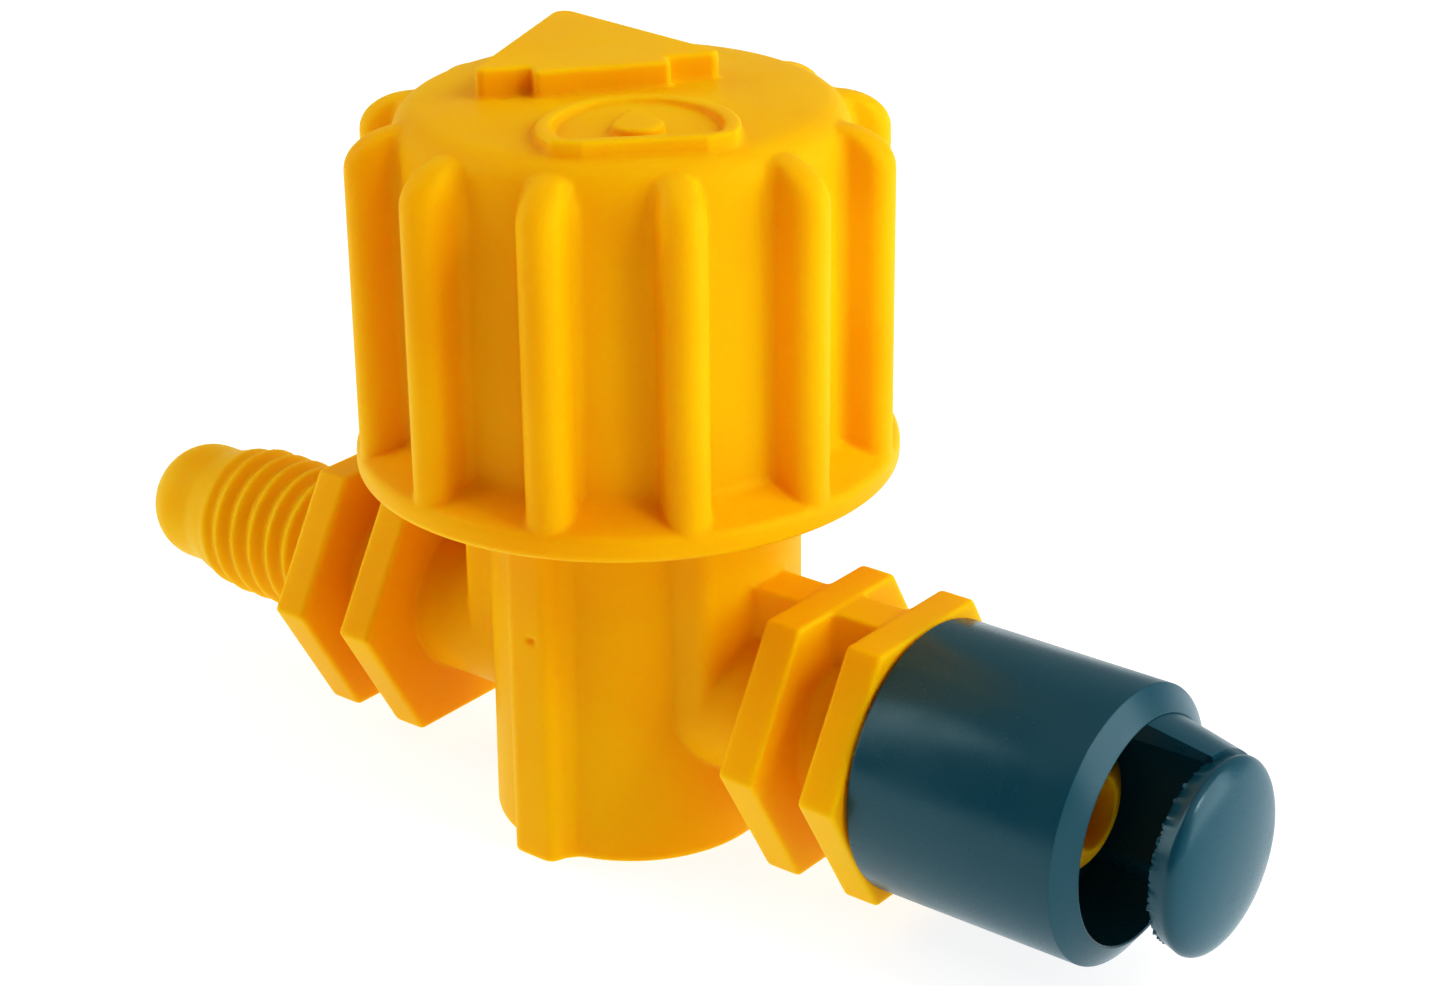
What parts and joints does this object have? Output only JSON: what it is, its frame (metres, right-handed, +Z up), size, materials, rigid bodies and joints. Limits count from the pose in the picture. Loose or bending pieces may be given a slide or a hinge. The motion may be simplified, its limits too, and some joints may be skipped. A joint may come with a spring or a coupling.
{
  "type": "micro spray emitter with flow control valve",
  "caption": "Threaded irrigation emitter: ribbed screw-down flow control knob on a tee-shaped barrel, with a threaded inlet spigot and a half-circle spray jet.",
  "frame": {"origin": "centre of the flat base of the centre tube, on the knob's axis", "axes": "+Z up along the knob's axis, +X along the barrel towards the spray jet, -Y towards the open side of the jet"},
  "size_m": [0.0412, 0.016, 0.0236],
  "materials": {
    "body_plastic": "satin moulded acetal, slightly translucent",
    "knob_plastic": "satin moulded acetal, slightly translucent",
    "spindle_plastic": "natural acetal, turned smooth",
    "seal_rubber": "matt black rubber",
    "jet_plastic": "satin moulded plastic"
  },
  "bodies": {
    "body": {"valve_body": "body_plastic"},
    "piston": {"spindle": "spindle_plastic", "stopper": "seal_rubber", "upper_o_ring": "seal_rubber", "lower_o_ring": "seal_rubber"},
    "knob": {"control_knob": "knob_plastic"},
    "jet": {"spray_jet": "jet_plastic"}
  },
  "joints": [
    {"name": "spindle_travel", "type": "slide", "parent": "body", "child": "piston", "axis": [0, 0, 1], "range_m": [-0.0022, 0.0002]},
    {"name": "knob_turn", "type": "hinge", "parent": "piston", "child": "knob", "pos_m": [0, 0, 0.017], "axis": [0, 0, 1], "range_deg": [-330, 30]},
    {"name": "jet_turn", "type": "hinge", "parent": "body", "child": "jet", "pos_m": [0.015, 0, 0.005], "axis": [1, 0, 0], "range_deg": [0, 270]}
  ],
  "couplings": [
    {"joint": "knob_turn", "follows": "spindle_travel", "rad_per_m": 2618}
  ]
}
